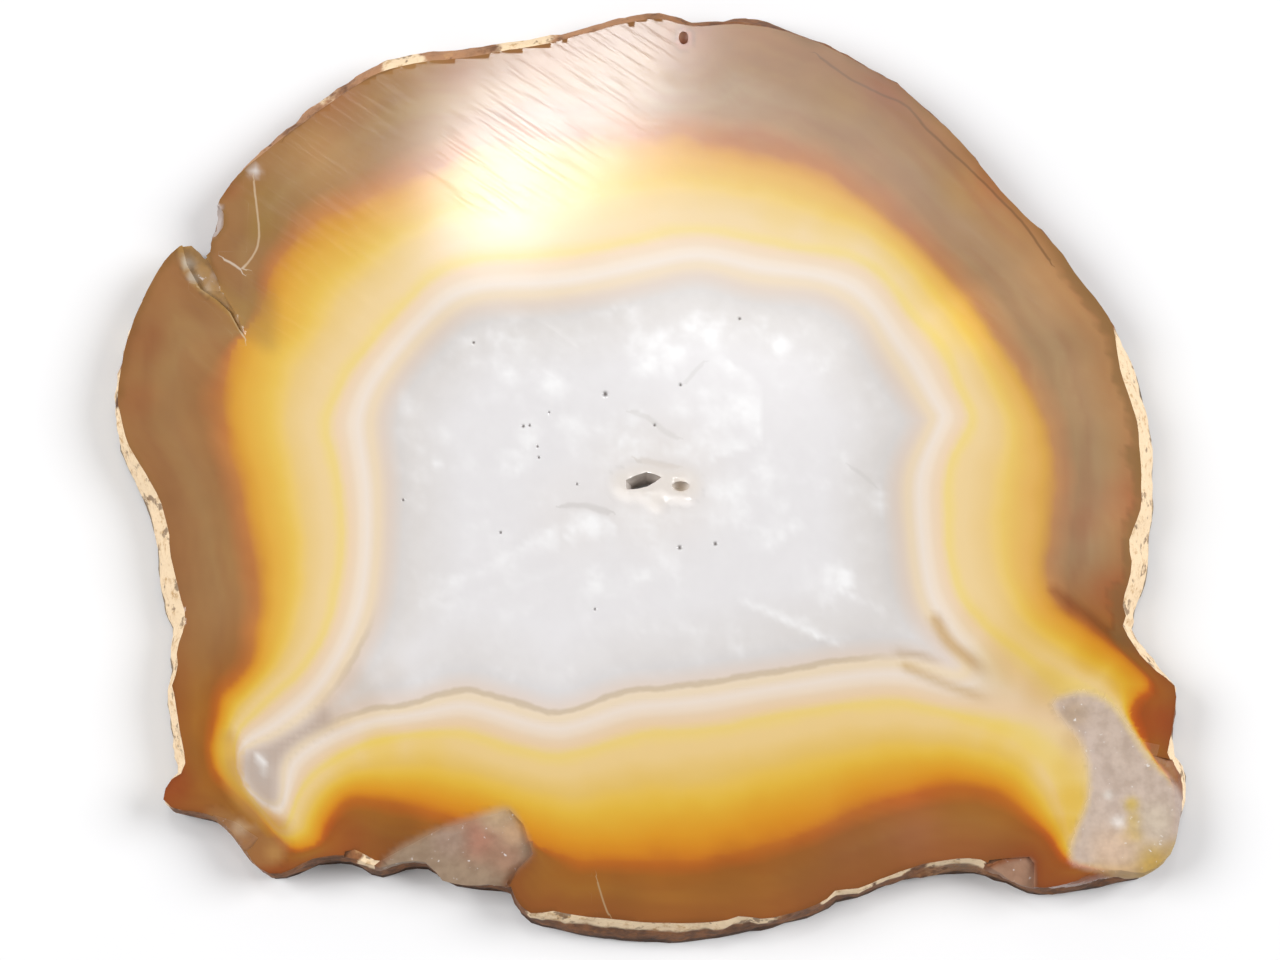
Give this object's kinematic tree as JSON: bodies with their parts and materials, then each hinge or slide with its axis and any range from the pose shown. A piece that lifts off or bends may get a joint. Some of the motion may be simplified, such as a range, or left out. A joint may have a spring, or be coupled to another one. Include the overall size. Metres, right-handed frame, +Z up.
{
  "type": "agate slice",
  "caption": "Thin sawn slab of banded agate with a flat polished face, a flat base, natural rough rind round the edge and a small hollow through its quartz heart",
  "frame": {"origin": "middle of the slab's box on the sawn base it rests on", "axes": "+X along the slab's longest side, +Y across it towards the domed edge, +Z up out of the polished face, +Z is the thickness"},
  "size_m": [0.0672, 0.0598, 0.003],
  "materials": {
    "banded_agate": "polished face, rough rind"
  },
  "bodies": {
    "root": {"agate_slice": "banded_agate"}
  },
  "joints": []
}
